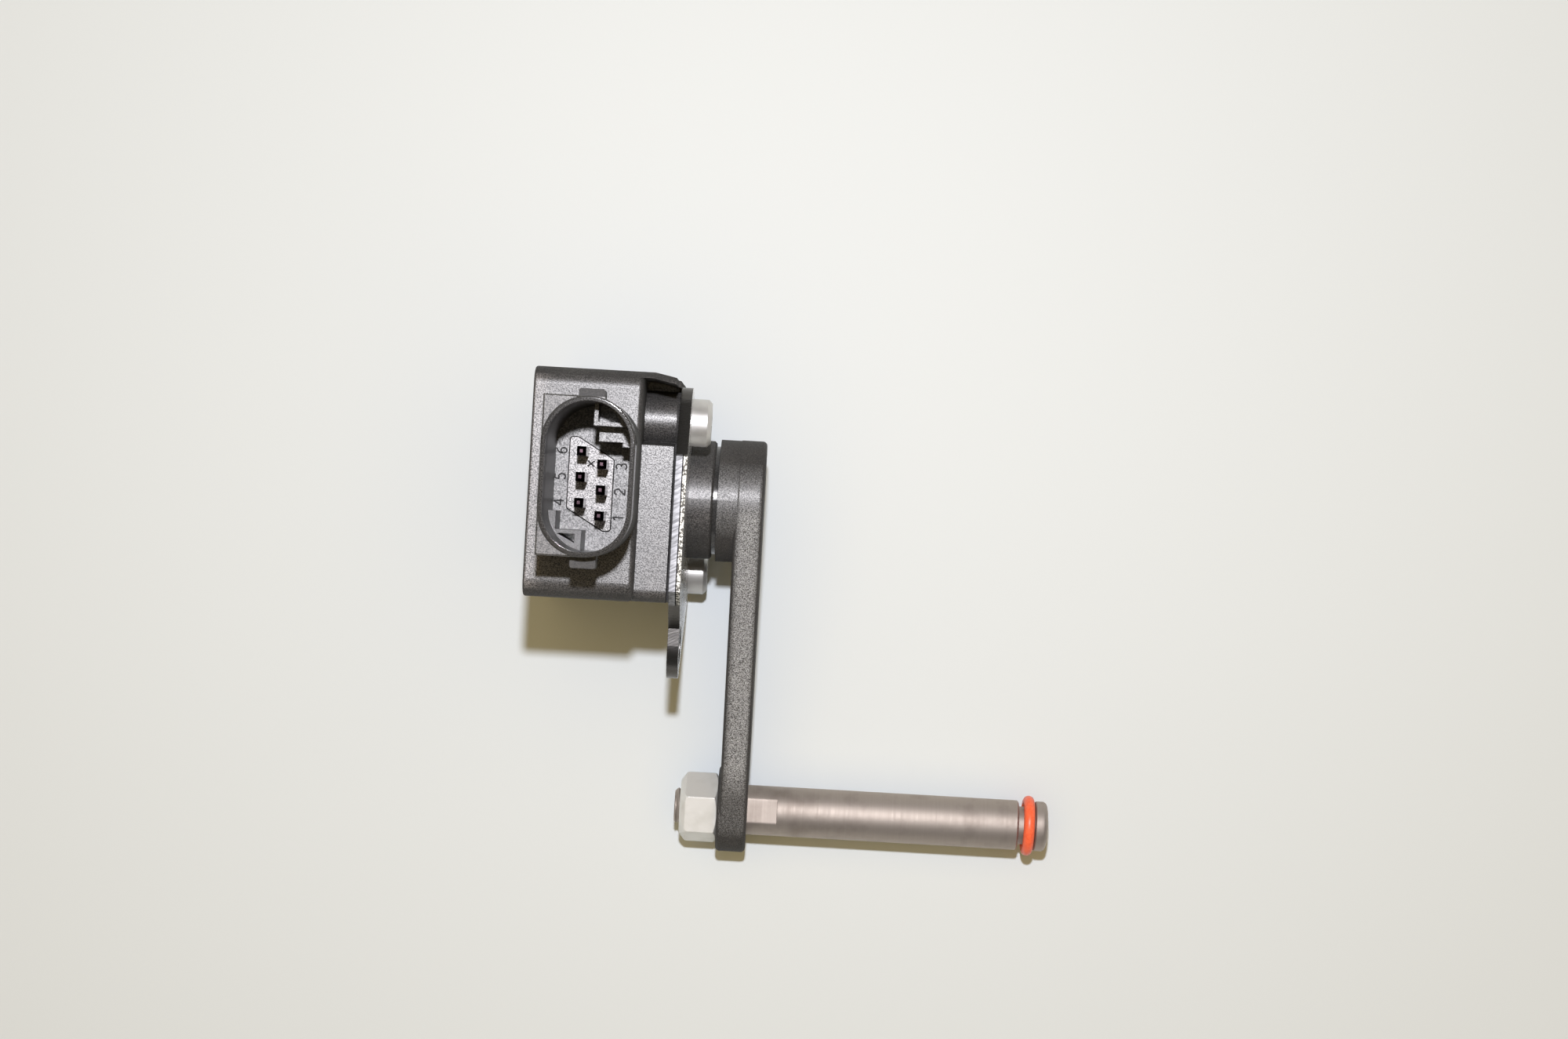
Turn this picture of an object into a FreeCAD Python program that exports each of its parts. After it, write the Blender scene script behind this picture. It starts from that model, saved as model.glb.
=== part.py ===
import FreeCAD
import Part
import math
import os

V = FreeCAD.Vector

# Lengths are in millimetres. X runs along the shaft towards the pedal pin, Z is the way the plug goes out,
# and the origin lies on the shaft axis at the outer face of the bracket plate.

# bracket plate
plate_thickness = 1.75
plate_front = 22.6
plate_front_low_y = -14.2
plate_front_high_y = 6.2
plate_disc_r = 13.6
lobe_r = 5.3
ear_r = 5.2
ear_y = -22.7
ear_z = 9.0
ear_shoulder_y = -20.0
ear_hole_r = 3.0
dome_hole_clearance = 0.12

# bracket screws and the brass inserts that take them
screw_y = 11.6
screw_z = 13.0
screw_thread_r = 2.0
screw_hole_r = 2.25
screw_head_r = 3.65
screw_head_height = 3.05
screw_head_chamfer = 0.55
screw_grip = 4.2
recess_depth = 1.6
recess_r = 1.25
recess_lobe_r = 0.45
insert_r = 3.0
insert_length = 4.8
insert_floor = 0.35

# housing
block_left = -23.35
block_right = -7.0
body_low_y = -16.0
body_high_y = 18.45
body_back = -20.0
block_front = 26.5
block_front_round = 2.7
block_side_round = 0.7
back_round = 0.8
cover_side_round = 0.4
flange_front = 21.5
flange_low_round = 1.8
flange_face_high_y = 7.6
pocket_floor = 13.0
pocket_low_y = 8.5
boss_r = 4.5
lip_thickness = 1.0
lip_taper_start = -5.5
lip_taper_drop = 0.8
plate_relief = 0.4
plate_relief_depth = 4.0
wall = 2.1
front_wall = 1.2
cover_thickness = 1.5
cover_ledge = 0.9
cover_clearance = 0.08

# plug socket
socket_x = -13.7
socket_low_y = -8.8
socket_high_y = 13.0
socket_r = 6.1
socket_wall = 0.7
socket_rim = 42.5
socket_floor = 22.2
socket_floor_thickness = 3.0
rim_chamfer = 0.25
post_below_rim = 0.5
post_round = 0.25
lug_width = 3.8
lug_proud_low = 1.65
lug_proud_high = 1.15
lug_below_rim = 3.0
lug_height = 4.2
lug_round = 0.4
key_height = 8.6
key_short = 1.2
key_long = 5.1
key_step = 2.7
key_depth = 5.8
key_hole_side = 2.6
key_hole_border = 0.6
tall_key_height = 14.3
tall_key_x = -13.4
tall_key_y = 9.65
low_key_height = 9.8
low_key_x = -12.8
low_key_y = 7.5
wall_key_x = -9.3
wall_key_y = 6.8
island_height = 0.35
island_left_margin = 2.3
island_right_margin = 1.5
island_end_margin = 2.3
island_low_margin = 0.9
island_point = 1.3
island_round = 0.5
island_edge = 0.14

# contact pins
pin_width = 1.4
pin_tip = 29.5
pin_tip_length = 0.9
pin_tip_width = 0.5
row_left_x = -15.5
row_right_x = -12.4
row_left_y = 6.0
row_right_y = 4.2
pin_pitch = 3.83
solder_left_z = 15.0
solder_right_z = 11.6
pin_bend_r = 0.7
pin_past_board = 0.5

# bearing
dome_r = 9.3
dome_height = 3.8
dome_chamfer = 0.3
shaft_r = 3.0
running_clearance = 0.04
bush_r = 4.5
seal_r = 6.0
seal_depth = 2.6
seal_gap = 0.1
thrust_ring_r = 8.5
thrust_ring_height = 0.65
hub_gap = 0.7

# rotor
rotor_pocket_r = 9.2
rotor_pocket_start = -4.4
rotor_r = 8.2
rotor_start = -5.4
rotor_thickness = 2.0
loop_thickness = 0.3
loop_hub_r = 3.6
loop_ring_r = 4.6
loop_lobe_r = 7.7
clip_thickness = 0.6
clip_play = 0.2
clip_r = 4.7
clip_groove_r = 2.5
clip_slot = 3.6

# circuit board
board_gap = 0.8
board_thickness = 1.6
board_edge = 0.6
board_top_gap = 0.9
standoff_r = 1.6
peg_r = 0.8
peg_clearance = 0.08
peg_inset = 2.2
chip_length = 6.4
chip_width = 5.2
chip_height = 1.3
chip_z = -3.0
capacitor_length = 2.0
capacitor_width = 1.25
capacitor_height = 0.9
capacitor_row_z = 4.6
capacitor_pitch = 3.4

# lever
hub_r = 9.6
hub_length = 7.2
arm_thickness = 4.45
arm_root_proud = 0.08
eye_r = 6.9
eye_boss = 0.4
lever_reach = 51.4
lever_round = 0.7
shaft_depth_in_hub = 5.2
sleeve_wall = 1.5

# pedal pin, lock nut and rubber ring
pedal_pin_r = 4.0
pedal_pin_length = 48.6
stud_r = 2.95
stud_past_nut = 0.9
stud_chamfer = 0.5
stud_clearance = 0.05
flat_across = 7.0
flat_length = 4.85
flat_turn = 3.0
groove_r = 3.05
groove_width = 2.7
groove_to_end = 2.05
groove_break = 0.22
pin_end_axial = 0.8
pin_end_radial = 1.1
nut_across = 10.0
nut_height = 6.0
nut_collar = 0.9
nut_collar_across = 8.9
nut_collar_break = 0.2
nut_corner_cut = 0.3
nut_corner_run = 0.7
nut_chamfer = 0.45
nut_turn = 9.3
cord_r = 0.9
cord_from_groove_end = 0.12

# places that follow from the sizes above
plate_back = -plate_thickness
cavity_front = block_right - front_wall
cover_seat = block_left + cover_thickness
cavity_top = socket_floor - socket_floor_thickness
board_front = cavity_front - board_gap
board_back = board_front - board_thickness
hub_start = dome_height + hub_gap
hub_end = hub_start + hub_length
arm_start = hub_end - arm_thickness
eye_z = body_back + eye_r
eye_y = -math.sqrt(lever_reach ** 2 - eye_z ** 2)
eye_face = arm_start - eye_boss
nut_start = eye_face - nut_height
pin_end = hub_end + pedal_pin_length


def box(x0, x1, y0, y1, z0, z1):
    # block between two corners
    return Part.makeBox(x1 - x0, y1 - y0, z1 - z0, V(x0, y0, z0))


def rod(r, x0, x1, y=0.0, z=0.0):
    # round bar along X
    return Part.makeCylinder(r, x1 - x0, V(x0, y, z), V(1, 0, 0))


def tube(r_in, r_out, x0, x1, y=0.0, z=0.0):
    # round bar along X with a round hole
    return rod(r_out, x0, x1, y, z).cut(rod(r_in, x0 - 1, x1 + 1, y, z))


def prism_x(points, x0, x1):
    # outline in Y and Z, pushed along X
    wire = Part.makePolygon([V(x0, y, z) for y, z in points + points[:1]])
    return Part.Face(wire).extrude(V(x1 - x0, 0, 0))


def prism_z(points, z0, z1):
    # outline in X and Y, pushed along Z
    wire = Part.makePolygon([V(x, y, z0) for x, y in points + points[:1]])
    return Part.Face(wire).extrude(V(0, 0, z1 - z0))


def turned(points, y=0.0, z=0.0):
    # profile of distance along X and radius, turned round the X axis
    wire = Part.makePolygon([V(x, r, 0) for x, r in points + points[:1]])
    solid = Part.Face(wire).revolve(V(0, 0, 0), V(1, 0, 0), 360)
    solid.translate(V(0, y, z))
    return solid


def link(ya, za, ra, yb, zb, rb, x0, x1):
    # two round ends joined by their outer tangents
    along = math.atan2(zb - za, yb - ya)
    spread = math.acos((ra - rb) / math.hypot(yb - ya, zb - za))

    def at(y, z, r, angle):
        return V(x0, y + r * math.cos(angle), z + r * math.sin(angle))

    a_left = at(ya, za, ra, along + spread)
    b_left = at(yb, zb, rb, along + spread)
    b_tip = at(yb, zb, rb, along)
    b_right = at(yb, zb, rb, along - spread)
    a_right = at(ya, za, ra, along - spread)
    a_tip = at(ya, za, ra, along + math.pi)
    edges = [Part.makeLine(a_left, b_left)]
    edges.append(Part.Arc(b_left, b_tip, b_right).toShape())
    edges.append(Part.makeLine(b_right, a_right))
    edges.append(Part.Arc(a_right, a_tip, a_left).toShape())
    return Part.Face(Part.Wire(edges)).extrude(V(x1 - x0, 0, 0))


def middle(edge):
    # point half way along an edge
    return edge.valueAt((edge.FirstParameter + edge.LastParameter) / 2)


def rounded(shape, radius, wanted):
    # shape with the wanted edges rounded
    edges = [e for e in shape.Edges if wanted(middle(e))]
    return shape.makeFillet(radius, edges)


def near(a, b):
    # same place within a hundredth of a millimetre
    return abs(a - b) < 0.01


def housing_block():
    # deep half of the housing that holds the board, with rounded front and back edges
    block = box(block_left, block_right, body_low_y, body_high_y, body_back, block_front)
    block = rounded(block, block_front_round, lambda p: near(p.z, block_front)
                    and (near(p.y, body_low_y) or near(p.y, body_high_y)))
    block = rounded(block, back_round, lambda p: near(p.z, body_back)
                    and (near(p.y, body_low_y) or near(p.y, body_high_y)))
    above = body_back + back_round
    block = rounded(block, block_side_round, lambda p: near(p.x, block_right) and p.z > above)
    return rounded(block, cover_side_round, lambda p: near(p.x, block_left))


def housing_flange():
    # front half under the plate: flat face, deep pocket round the upper screw boss,
    # and a thin tapered lip that carries on the rounded front edge of the block
    high = body_high_y
    inner = high - lip_thickness
    start = block_right - 1.0
    flange = box(start, plate_back, body_low_y, high, body_back, flange_front)
    flange = rounded(flange, flange_low_round, lambda p: near(p.z, flange_front) and near(p.y, body_low_y))
    flange = rounded(flange, back_round, lambda p: near(p.z, body_back)
                     and (near(p.y, body_low_y) or near(p.y, high)))
    top = flange_front + 1.0
    slope = (pocket_low_y - flange_face_high_y) / (flange_front - pocket_floor)
    pocket = [(flange_face_high_y - slope, top), (pocket_low_y, pocket_floor)]
    pocket += [(high + 1, pocket_floor), (high + 1, top)]
    flange = flange.cut(prism_x(pocket, block_right, plate_back + 1))
    boss = rod(boss_r, start, plate_back, screw_y, screw_z)
    end = plate_back - lip_taper_start
    lip = [(start, high), (start, inner), (lip_taper_start, inner), (plate_back, inner - lip_taper_drop)]
    lip += [(plate_back, high - lip_taper_drop), (lip_taper_start, high)]
    bar = box(start, plate_back, body_low_y, high, body_back, block_front)
    bar = rounded(bar, block_front_round, lambda p: near(p.z, block_front) and near(p.y, high))
    flange = flange.fuse([boss, prism_z(lip, pocket_floor - 1.0, block_front).common(bar)])
    steep = lip_taper_drop / end
    off = [(lip_taper_start, high), (plate_back + 1, high - steep * (end + 1)), (plate_back + 1, high + 1)]
    off += [(lip_taper_start, high + 1)]
    flange = flange.cut(prism_z(off, body_back - 1, block_front))
    relief = box(plate_back - plate_relief, plate_back + 1, body_low_y - 1, high + 1,
                 flange_front - plate_relief_depth, block_front)
    return flange.cut(relief)


def stadium(grow, z0, z1):
    # upright shape of the socket: straight sides and two half round ends
    r = socket_r + grow
    low = socket_low_y + socket_r
    high = socket_high_y - socket_r
    ends = [Part.makeCylinder(r, z1 - z0, V(socket_x, y, z0)) for y in (low, high)]
    return ends[0].fuse([ends[1], box(socket_x - r, socket_x + r, low, high, z0, z1)]).removeSplitter()


def socket_shroud():
    # collar of the socket with square corners on the left and a latch lug at each end
    foot = block_front - 1.5
    collar = stadium(socket_wall, foot, socket_rim)
    collar = rounded(collar, rim_chamfer, lambda p: near(p.z, socket_rim))
    left = socket_x - socket_r - socket_wall
    low = socket_low_y - socket_wall
    high = socket_high_y + socket_wall
    post_top = socket_rim - post_below_rim
    post = box(left, socket_x, low, high, foot, post_top)
    post = rounded(post, post_round, lambda p: near(p.z, post_top) and not near(p.x, socket_x))
    lug_top = socket_rim - lug_below_rim
    lugs = box(socket_x - lug_width / 2, socket_x + lug_width / 2, low - lug_proud_low, high + lug_proud_high,
               lug_top - lug_height, lug_top)
    lugs = rounded(lugs, lug_round, lambda p: near(p.z, lug_top - lug_height / 2))
    return collar.fuse([post, lugs])


def lower_key():
    # low stepped coding key in the lower left corner of the socket, with a three sided core hole
    left = socket_x - socket_r - socket_wall / 2
    low = socket_low_y - socket_wall / 2
    x_short = socket_x - socket_r + key_short
    x_long = socket_x - socket_r + key_long
    y_step = socket_low_y + key_depth - key_step
    y_high = socket_low_y + key_depth
    outline = [(left, low), (x_long, low), (x_long, y_step), (x_short, y_step)]
    outline += [(x_short, y_high), (left, y_high)]
    foot = socket_floor - 0.5
    top = socket_floor + key_height
    key = prism_z(outline, foot, top).common(stadium(socket_wall / 2, foot, top))
    y = y_step - key_hole_border
    x = x_short + key_hole_border / 2
    hole = [(x, y), (x + key_hole_side, y), (x + key_hole_side, y - key_hole_side / 2)]
    return key.cut(prism_z(hole, top - key_height / 2, top + 1))


def upper_key():
    # tall coding key in the upper right corner with a low step in front of it and a core hole up to the wall
    right = socket_x + socket_r + socket_wall / 2
    high = socket_high_y + socket_wall / 2
    foot = socket_floor - 0.5
    top = socket_floor + tall_key_height
    step_top = socket_floor + low_key_height
    tall = box(tall_key_x, right, tall_key_y, high, foot, top)
    outline = [(low_key_x, low_key_y), (wall_key_x, low_key_y), (wall_key_x, wall_key_y), (right, wall_key_y)]
    outline += [(right, high), (low_key_x, high)]
    key = tall.fuse(prism_z(outline, foot, step_top)).common(stadium(socket_wall / 2, foot, top))
    x = tall_key_x + key_hole_border
    y = tall_key_y + key_hole_border
    side = key_hole_side
    hole = [(x, y), (x + 1.3 * side, y), (x + side, y + side / 2), (x + side / 2, y + side), (x, y + side)]
    return key.cut(prism_z(hole, top - key_height / 2, top + 1))


def socket_island():
    # low raised pad round the pins, slanted at both ends
    left = row_left_x - island_left_margin
    right = row_right_x + island_right_margin
    high = row_left_y + island_end_margin
    low = row_right_y - 2 * pin_pitch - island_end_margin
    outline = [(left, high), (left + island_point, high), (right, row_right_y + island_low_margin)]
    outline += [(right, low), (right - island_point, low)]
    outline += [(left, row_left_y - 2 * pin_pitch - island_low_margin)]
    pad = prism_z(outline, socket_floor - 0.5, socket_floor + island_height)
    pad = rounded(pad, island_round, lambda p: socket_floor - 0.2 < p.z < socket_floor)
    top = socket_floor + island_height
    return pad.makeChamfer(island_edge, [e for e in pad.Edges if near(middle(e).z, top)])


def board_pegs():
    # places of the four pegs that locate the board
    low = body_low_y + wall + board_edge + peg_inset
    high = body_high_y - wall - board_edge - peg_inset
    bottom = body_back + wall + board_edge + peg_inset
    top = cavity_top - board_top_gap - peg_inset
    return [(low, bottom), (high, bottom), (low, top), (high, top)]


def screw_places():
    # the two screws lie opposite each other across the dome
    return [(screw_y, screw_z), (-screw_y, -screw_z)]


def pin_places():
    # number, row, Y and board height of each contact
    places = []
    for k in range(3):
        places.append((6 - k, row_left_x, row_left_y - k * pin_pitch, solder_left_z))
        places.append((3 - k, row_right_x, row_right_y - k * pin_pitch, solder_right_z))
    return places


def make_housing():
    # moulded body: block, flange, dome and socket, hollowed for board, rotor and bearing
    dome = rod(dome_r, plate_back - 1, dome_height)
    dome = dome.makeChamfer(dome_chamfer, [e for e in dome.Edges if near(middle(e).x, dome_height)])
    body = housing_block().fuse([housing_flange(), dome, socket_shroud()]).removeSplitter()
    body = body.cut(stadium(0.0, socket_floor, socket_rim + 1))
    body = body.fuse([lower_key(), upper_key(), socket_island()])
    low = body_low_y + wall
    high = body_high_y - wall
    back = body_back + wall
    cavity = box(block_left - 1, cavity_front, low, high, back, cavity_top)
    ledge = cover_ledge
    seat = box(block_left - 1, cover_seat, low - ledge, high + ledge, back - ledge, cavity_top + ledge)
    bore = rod(bush_r, rotor_pocket_start - 1, dome_height)
    pocket = rod(rotor_pocket_r, cavity_front - 1, rotor_pocket_start)
    seal_seat = rod(seal_r, dome_height - seal_depth, dome_height + 1)
    holes = [cavity, seat, bore, pocket, seal_seat]
    for y, z in screw_places():
        holes.append(rod(insert_r, plate_back - insert_length - insert_floor, plate_back + 1, y, z))
    body = body.cut(holes)
    pegs = []
    for y, z in board_pegs():
        pegs.append(rod(standoff_r, board_front, cavity_front + 0.2, y, z))
        pegs.append(rod(peg_r, board_back - 0.4, cavity_front + 0.2, y, z))
    body = body.fuse(pegs)
    half = pin_width / 2
    slots = []
    for number, x, y, z in pin_places():
        slots.append(box(x - half, x + half, y - half, y + half, cavity_top - 1, socket_floor + 1))
    return body.cut(slots).removeSplitter()


def make_rear_cover():
    # flat lid let into the open side of the housing
    grow = cover_ledge - cover_clearance
    cover = box(block_left, cover_seat, body_low_y + wall - grow, body_high_y - wall + grow,
                body_back + wall - grow, cavity_top + grow)
    return cover.makeFillet(0.3, [e for e in cover.Edges if near(middle(e).x, block_left)])


def touch_point(y, z, cy, cz, r):
    # where the line from a point touches a round end on its upper side
    towards = math.atan2(z - cz, y - cy)
    turn = towards - math.acos(r / math.hypot(y - cy, z - cz))
    return cy + r * math.cos(turn), cz + r * math.sin(turn)


def make_bracket_plate():
    # stamped plate with two screw lobes, one ear and a round hole for the dome
    x0 = plate_back
    outline = [(plate_front_high_y, plate_front), (plate_front_low_y, plate_front)]
    outline += [(ear_shoulder_y, ear_z + ear_r), (ear_y, ear_z + ear_r), (ear_y, ear_z)]
    outline += [(-screw_y, -screw_z), (screw_y, screw_z)]
    outline += [touch_point(plate_front_high_y, plate_front, screw_y, screw_z, lobe_r)]
    plate = prism_x(outline, x0, 0.0)
    upper = link(0.0, 0.0, plate_disc_r, screw_y, screw_z, lobe_r, x0, 0.0)
    lower = link(0.0, 0.0, plate_disc_r, -screw_y, -screw_z, lobe_r, x0, 0.0)
    ear = link(ear_y, ear_z, ear_r, -screw_y, -screw_z, lobe_r, x0, 0.0)
    plate = plate.fuse([upper, lower, ear]).removeSplitter()
    holes = [rod(dome_r + dome_hole_clearance, x0 - 1, 1), rod(ear_hole_r, x0 - 1, 1, ear_y, ear_z)]
    holes += [rod(screw_hole_r, x0 - 1, 1, y, z) for y, z in screw_places()]
    return plate.cut(holes)


def make_screw(y, z):
    # low cylinder head screw with a six lobed recess
    c = screw_head_chamfer
    h = screw_head_height
    end = plate_back - screw_grip
    profile = [(end, 0), (end, screw_thread_r - 0.4), (end + 0.4, screw_thread_r), (0, screw_thread_r)]
    profile += [(0, screw_head_r), (h - c, screw_head_r), (h, screw_head_r - c), (h, 0)]
    screw = turned(profile, y, z)
    recess = [rod(recess_r, h - recess_depth, h + 1, y, z)]
    for k in range(6):
        turn = math.radians(60 * k)
        recess.append(rod(recess_lobe_r, h - recess_depth, h + 1,
                          y + recess_r * math.cos(turn), z + recess_r * math.sin(turn)))
    return screw.cut(recess)


def make_bracket_screws():
    # both screws
    return Part.makeCompound([make_screw(y, z) for y, z in screw_places()])


def make_threaded_inserts():
    # brass sleeves moulded into the bosses
    end = plate_back - insert_length
    sleeves = [tube(screw_thread_r, insert_r, end, plate_back, y, z) for y, z in screw_places()]
    return Part.makeCompound(sleeves)


def make_bearing_bush():
    # plain bush in the dome
    return tube(shaft_r + running_clearance, bush_r, rotor_pocket_start, dome_height - seal_depth)


def make_shaft_seal():
    # rubber ring in front of the bush with a groove between its two lips
    inner = shaft_r + running_clearance
    x0 = dome_height - seal_depth
    x1 = dome_height - seal_gap
    third = (x1 - x0) / 3
    return tube(inner, seal_r, x0, x1).cut(rod(inner + 0.5, x0 + third, x1 - third))


def make_thrust_ring():
    # thin slide ring on the end of the dome
    return tube(seal_r + 0.1, thrust_ring_r, dome_height, dome_height + thrust_ring_height)


def make_circuit_board():
    # board across the housing with peg holes and pin holes
    edge = wall + board_edge
    board = box(board_back, board_front, body_low_y + edge, body_high_y - edge,
                body_back + edge, cavity_top - board_top_gap)
    holes = [rod(peg_r + peg_clearance, board_back - 1, board_front + 1, y, z) for y, z in board_pegs()]
    half = pin_width / 2
    for number, x, y, z in pin_places():
        holes.append(box(board_back - 1, board_front + 1, y - half, y + half, z - half, z + half))
    return board.cut(holes)


def make_sensor_chip():
    # flat package on the side of the board away from the rotor
    chip = box(board_back - chip_height, board_back, -chip_length / 2, chip_length / 2,
               chip_z - chip_width / 2, chip_z + chip_width / 2)
    return chip.makeChamfer(0.25, [e for e in chip.Edges if near(middle(e).x, board_back - chip_height)])


def make_board_capacitors():
    # row of four small block capacitors
    parts = []
    for k in range(4):
        y = (k - 1.5) * capacitor_pitch
        parts.append(box(board_back - capacitor_height, board_back, y - capacitor_length / 2,
                         y + capacitor_length / 2, capacitor_row_z - capacitor_width / 2,
                         capacitor_row_z + capacitor_width / 2))
    return Part.makeCompound(parts)


def make_contact_pin(x, y, z):
    # square pin from the socket down into the housing, bent into the board, with a pyramid tip
    half = pin_width / 2
    shoulder = pin_tip - pin_tip_length
    stem = box(x - half, x + half, y - half, y + half, z - half, shoulder)
    foot = box(x - half, board_front + pin_past_board, y - half, y + half, z - half, z + half)
    pin = stem.fuse(foot).removeSplitter()
    pin = rounded(pin, pin_bend_r, lambda p: near(p.x, x - half) and near(p.z, z - half))

    def square(size, height):
        s = size / 2
        corners = [V(x - s, y - s, height), V(x + s, y - s, height)]
        corners += [V(x + s, y + s, height), V(x - s, y + s, height)]
        return Part.makePolygon(corners + corners[:1])

    tip = Part.makeLoft([square(pin_width, shoulder), square(pin_tip_width, pin_tip)], True, True)
    return pin.fuse(tip)


def make_shaft():
    # steel shaft with a clip groove
    end = rotor_start - rotor_thickness
    g0 = rotor_pocket_start - clip_play - clip_thickness
    g1 = rotor_pocket_start - clip_play
    top = hub_start + shaft_depth_in_hub
    profile = [(end, 0), (end, shaft_r - 0.3), (end + 0.3, shaft_r), (g0, shaft_r), (g0, clip_groove_r)]
    profile += [(g1, clip_groove_r), (g1, shaft_r), (top - 0.3, shaft_r), (top, shaft_r - 0.3), (top, 0)]
    return turned(profile)


def make_retaining_clip():
    # open spring ring in the groove of the shaft
    x1 = rotor_pocket_start - clip_play
    x0 = x1 - clip_thickness
    ring = tube(clip_groove_r, clip_r, x0, x1)
    return ring.cut(box(x0 - 1, x1 + 1, -clip_slot / 2, clip_slot / 2, 0, clip_r + 1))


def make_rotor_carrier():
    # moulded disc on the inner end of the shaft
    return tube(shaft_r, rotor_r, rotor_start - rotor_thickness, rotor_start)


def make_rotor_loop():
    # stamped copper loop with three lobes
    x1 = rotor_start - rotor_thickness
    x0 = x1 - loop_thickness
    loop = tube(loop_hub_r, loop_ring_r, x0, x1)
    for k in range(3):
        arm = tube(loop_ring_r - 0.5, loop_lobe_r, x0, x1)
        sides = [(0, 0)]
        for j in (-30, 0, 30):
            turn = math.radians(120 * k + j)
            sides.append((2 * loop_lobe_r * math.cos(turn), 2 * loop_lobe_r * math.sin(turn)))
        loop = loop.fuse(arm.common(prism_x(sides, x0, x1)))
    return loop.removeSplitter()


def make_lever_arm():
    # hub, tapered arm and eye with a low boss under the nut, all with rounded edges
    arm = link(0.0, 0.0, hub_r + arm_root_proud, eye_y, eye_z, eye_r, arm_start, hub_end)
    flat_ends = [e for e in arm.Edges if near(middle(e).x, arm_start) or near(middle(e).x, hub_end)]
    arm = arm.makeFillet(lever_round, flat_ends)
    hub = rod(hub_r, hub_start, hub_end)
    hub = hub.makeFillet(lever_round, [e for e in hub.Edges if near(middle(e).x, hub_end)])
    boss = rod(eye_r, eye_face, arm_start + lever_round, eye_y, eye_z)
    boss = boss.makeFillet(lever_round, [e for e in boss.Edges if near(middle(e).x, eye_face)])
    lever = hub.fuse([arm, boss])
    holes = [rod(shaft_r, hub_start - 1, hub_start + shaft_depth_in_hub)]
    holes.append(rod(stud_r + stud_clearance + sleeve_wall, eye_face - 1, hub_end + 1, eye_y, eye_z))
    return lever.cut(holes)


def make_eye_sleeve():
    # steel sleeve in the eye, clamped between nut and pin shoulder
    inner = stud_r + stud_clearance
    return tube(inner, inner + sleeve_wall, eye_face, hub_end, eye_y, eye_z)


def make_pedal_pin():
    # turned pin: threaded stud, body with two wrench flats, ring groove and rounded end
    r = pedal_pin_r
    c = stud_chamfer
    end = nut_start - stud_past_nut
    g1 = pin_end - groove_to_end
    g0 = g1 - groove_width
    mid = (pin_end - pin_end_axial * 0.3, r - pin_end_radial * 0.45)
    profile = [(end, 0), (end, stud_r - c), (end + c, stud_r), (hub_end, stud_r), (hub_end, r)]
    b = groove_break
    profile += [(g0 - b, r), (g0, r - b), (g0, groove_r), (g1, groove_r), (g1, r - b), (g1 + b, r)]
    profile += [(pin_end - pin_end_axial, r), mid, (pin_end, r - pin_end_radial), (pin_end, 0)]
    pin = turned(profile, eye_y, eye_z)
    tools = []
    for side in (1, -1):
        tool = box(hub_end - 1, hub_end + flat_length, -r - 1, r + 1, flat_across / 2, r + 1)
        tool.rotate(V(0, 0, 0), V(1, 0, 0), -flat_turn + 90 - 90 * side)
        tool.translate(V(0, eye_y, eye_z))
        tools.append(tool)
    for tool in tools:
        pin = pin.cut(tool.common(rod(r + 1, hub_end, pin_end, eye_y, eye_z)))
    return pin


def hexagon(across, x):
    # six sided outline at one place along X
    r = across / math.sqrt(3)
    corners = []
    for k in range(6):
        turn = math.radians(60 * k + nut_turn)
        corners.append(V(x, eye_y + r * math.cos(turn), eye_z + r * math.sin(turn)))
    return Part.makePolygon(corners + corners[:1])


def make_lock_nut():
    # hexagon nut with a tapered locking collar
    x0 = nut_start
    x1 = nut_start + nut_collar
    collar = Part.makeLoft([hexagon(nut_collar_across, x0), hexagon(nut_across, x1)], True, True)
    body = Part.Face(hexagon(nut_across, x1)).extrude(V(eye_face - x1, 0, 0))
    nut = body.fuse(collar)
    wide = nut_across / math.sqrt(3) + 0.1
    seat_r = nut_across / 2
    c = nut_chamfer
    profile = [(x0, 0), (x0, nut_collar_across / 2 - nut_collar_break), (x1, wide - nut_corner_cut)]
    profile += [(x1 + nut_corner_run, wide), (eye_face - c, wide), (eye_face, seat_r), (eye_face, 0)]
    nut = nut.common(turned(profile, eye_y, eye_z))
    return nut.cut(rod(stud_r, x0 - 1, eye_face + 1, eye_y, eye_z))


def make_o_ring():
    # rubber ring that sits in the groove near its outer side
    x = pin_end - groove_to_end - cord_from_groove_end - cord_r
    return Part.makeTorus(groove_r + cord_r, cord_r, V(x, eye_y, eye_z), V(1, 0, 0))


def export(name, shape):
    # one file for each piece
    shape.exportStep("parts/" + name + ".step")


os.makedirs("parts", exist_ok=True)
export("housing", make_housing())
export("rear_cover", make_rear_cover())
export("bracket_plate", make_bracket_plate())
export("bracket_screws", make_bracket_screws())
export("threaded_inserts", make_threaded_inserts())
export("bearing_bush", make_bearing_bush())
export("shaft_seal", make_shaft_seal())
export("thrust_ring", make_thrust_ring())
export("circuit_board", make_circuit_board())
export("sensor_chip", make_sensor_chip())
export("board_capacitors", make_board_capacitors())
for number, x, y, z in pin_places():
    export("contact_pin_%d" % number, make_contact_pin(x, y, z))
export("shaft", make_shaft())
export("retaining_clip", make_retaining_clip())
export("rotor_carrier", make_rotor_carrier())
export("rotor_loop", make_rotor_loop())
export("lever_arm", make_lever_arm())
export("eye_sleeve", make_eye_sleeve())
export("pedal_pin", make_pedal_pin())
export("lock_nut", make_lock_nut())
export("o_ring", make_o_ring())
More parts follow.
